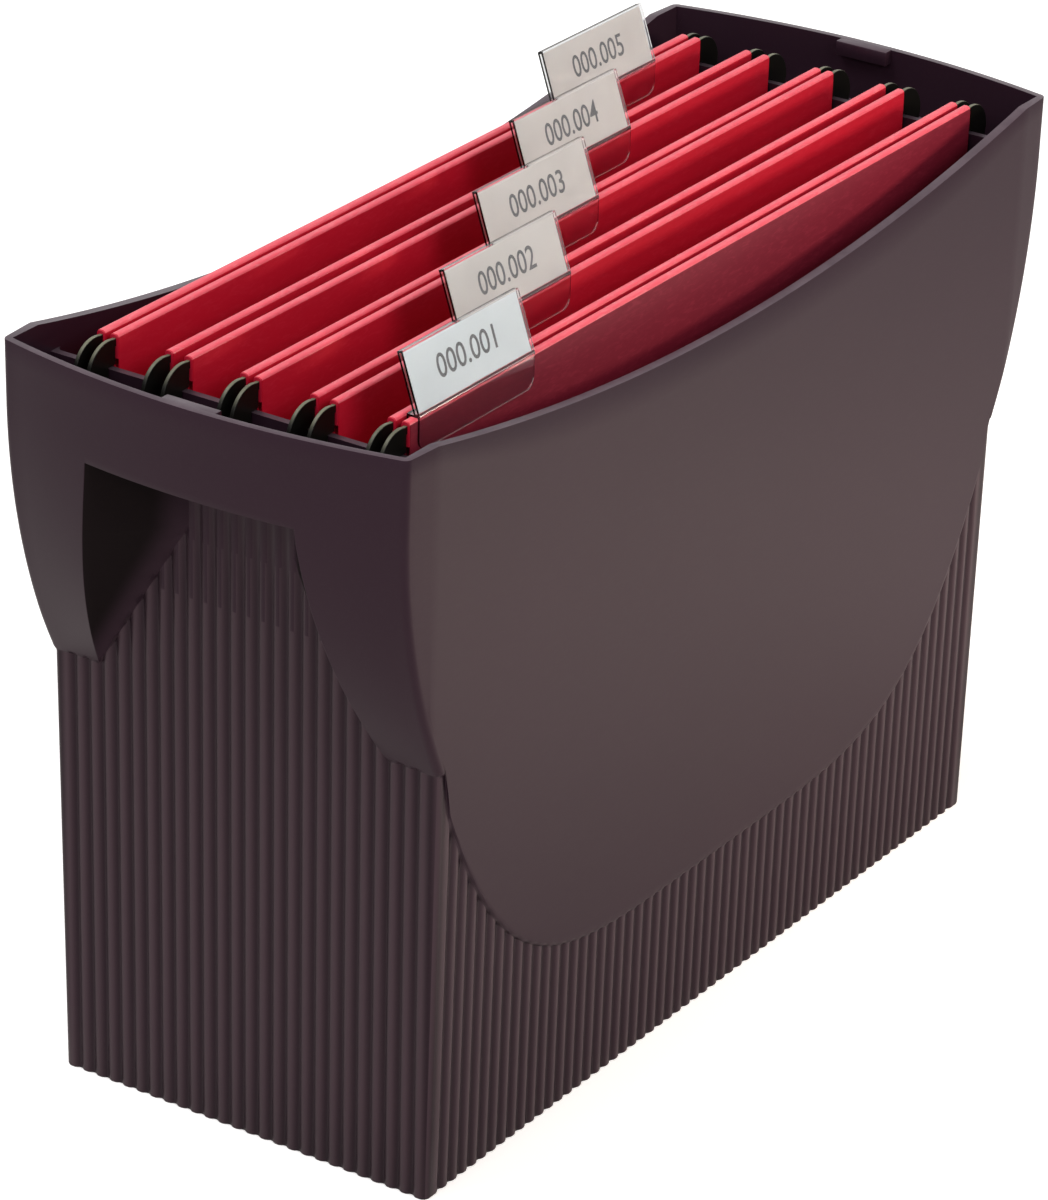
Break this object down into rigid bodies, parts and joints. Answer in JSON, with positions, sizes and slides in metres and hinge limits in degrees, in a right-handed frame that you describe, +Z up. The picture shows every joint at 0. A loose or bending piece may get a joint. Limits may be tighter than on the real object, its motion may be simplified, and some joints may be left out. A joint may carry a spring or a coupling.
{
  "type": "portable file box",
  "caption": "Open moulded desk box with flared ends, finger grips and ribbed walls, holding hanging files with blade hooks, clear tabs and labels.",
  "frame": {"origin": "middle of the base, on the surface the box stands on", "axes": "+X along the length of the box and of the files, +Y across it towards the back of the files, +Z up"},
  "size_m": [0.39, 0.15, 0.2796],
  "materials": {
    "shell": "fine satin grain",
    "card": "coated crimson card",
    "rod": "extruded, lightly glossy",
    "hook": "black, semi gloss",
    "clear": "clear, polished",
    "paper": "matt, printed with a plain number"
  },
  "bodies": {
    "box": {"box": "shell"},
    "file_1": {"file_1_rear_card": "card", "file_1_rear_rod": "rod", "file_1_rear_hooks": "hook"},
    "file_1_front": {"file_1_front_card": "card", "file_1_front_rod": "rod", "file_1_front_hooks": "hook"},
    "file_1_tab": {"file_1_tab": "clear"},
    "file_1_label": {"file_1_label": "paper"},
    "file_2": {"file_2_rear_card": "card", "file_2_rear_rod": "rod", "file_2_rear_hooks": "hook"},
    "file_2_front": {"file_2_front_card": "card", "file_2_front_rod": "rod", "file_2_front_hooks": "hook"},
    "file_2_tab": {"file_2_tab": "clear"},
    "file_2_label": {"file_2_label": "paper"},
    "file_3": {"file_3_rear_card": "card", "file_3_rear_rod": "rod", "file_3_rear_hooks": "hook"},
    "file_3_front": {"file_3_front_card": "card", "file_3_front_rod": "rod", "file_3_front_hooks": "hook"},
    "file_3_tab": {"file_3_tab": "clear"},
    "file_3_label": {"file_3_label": "paper"},
    "file_4": {"file_4_rear_card": "card", "file_4_rear_rod": "rod", "file_4_rear_hooks": "hook"},
    "file_4_front": {"file_4_front_card": "card", "file_4_front_rod": "rod", "file_4_front_hooks": "hook"},
    "file_4_tab": {"file_4_tab": "clear"},
    "file_4_label": {"file_4_label": "paper"},
    "file_5": {"file_5_rear_card": "card", "file_5_rear_rod": "rod", "file_5_rear_hooks": "hook"},
    "file_5_front": {"file_5_front_card": "card", "file_5_front_rod": "rod", "file_5_front_hooks": "hook"},
    "file_5_tab": {"file_5_tab": "clear"},
    "file_5_label": {"file_5_label": "paper"}
  },
  "joints": [
    {"name": "file_1_lift", "type": "slide", "parent": "box", "child": "file_1", "axis": [0, 0, 1], "range_m": [0, 0.27]},
    {"name": "file_1_open", "type": "hinge", "parent": "file_1", "child": "file_1_front", "pos_m": [0, -0.0569, 0.01875], "axis": [1, 0, 0], "range_deg": [0, 2.4]},
    {"name": "file_1_tab_slide", "type": "slide", "parent": "file_1_front", "child": "file_1_tab", "axis": [1, 0, 0], "range_m": [-0.0025, 0.2605]},
    {"name": "file_1_label_slide", "type": "slide", "parent": "file_1_tab", "child": "file_1_label", "axis": [1, 0, 0], "range_m": [0, 0.062]},
    {"name": "file_2_lift", "type": "slide", "parent": "box", "child": "file_2", "axis": [0, 0, 1], "range_m": [0, 0.27]},
    {"name": "file_2_open", "type": "hinge", "parent": "file_2", "child": "file_2_front", "pos_m": [0, -0.0313, 0.01985], "axis": [1, 0, 0], "range_deg": [0, 2.4]},
    {"name": "file_2_tab_slide", "type": "slide", "parent": "file_2_front", "child": "file_2_tab", "axis": [1, 0, 0], "range_m": [-0.0605, 0.2025]},
    {"name": "file_2_label_slide", "type": "slide", "parent": "file_2_tab", "child": "file_2_label", "axis": [1, 0, 0], "range_m": [0, 0.062]},
    {"name": "file_3_lift", "type": "slide", "parent": "box", "child": "file_3", "axis": [0, 0, 1], "range_m": [0, 0.27]},
    {"name": "file_3_open", "type": "hinge", "parent": "file_3", "child": "file_3_front", "pos_m": [0, -0.0035, 0.01875], "axis": [1, 0, 0], "range_deg": [0, 2.4]},
    {"name": "file_3_tab_slide", "type": "slide", "parent": "file_3_front", "child": "file_3_tab", "axis": [1, 0, 0], "range_m": [-0.1185, 0.1445]},
    {"name": "file_3_label_slide", "type": "slide", "parent": "file_3_tab", "child": "file_3_label", "axis": [1, 0, 0], "range_m": [0, 0.062]},
    {"name": "file_4_lift", "type": "slide", "parent": "box", "child": "file_4", "axis": [0, 0, 1], "range_m": [0, 0.27]},
    {"name": "file_4_open", "type": "hinge", "parent": "file_4", "child": "file_4_front", "pos_m": [0, 0.0221, 0.01985], "axis": [1, 0, 0], "range_deg": [0, 2.4]},
    {"name": "file_4_tab_slide", "type": "slide", "parent": "file_4_front", "child": "file_4_tab", "axis": [1, 0, 0], "range_m": [-0.1765, 0.0865]},
    {"name": "file_4_label_slide", "type": "slide", "parent": "file_4_tab", "child": "file_4_label", "axis": [1, 0, 0], "range_m": [0, 0.062]},
    {"name": "file_5_lift", "type": "slide", "parent": "box", "child": "file_5", "axis": [0, 0, 1], "range_m": [0, 0.27]},
    {"name": "file_5_open", "type": "hinge", "parent": "file_5", "child": "file_5_front", "pos_m": [0, 0.0499, 0.01875], "axis": [1, 0, 0], "range_deg": [0, 2.4]},
    {"name": "file_5_tab_slide", "type": "slide", "parent": "file_5_front", "child": "file_5_tab", "axis": [1, 0, 0], "range_m": [-0.2345, 0.0285]},
    {"name": "file_5_label_slide", "type": "slide", "parent": "file_5_tab", "child": "file_5_label", "axis": [1, 0, 0], "range_m": [0, 0.062]}
  ]
}
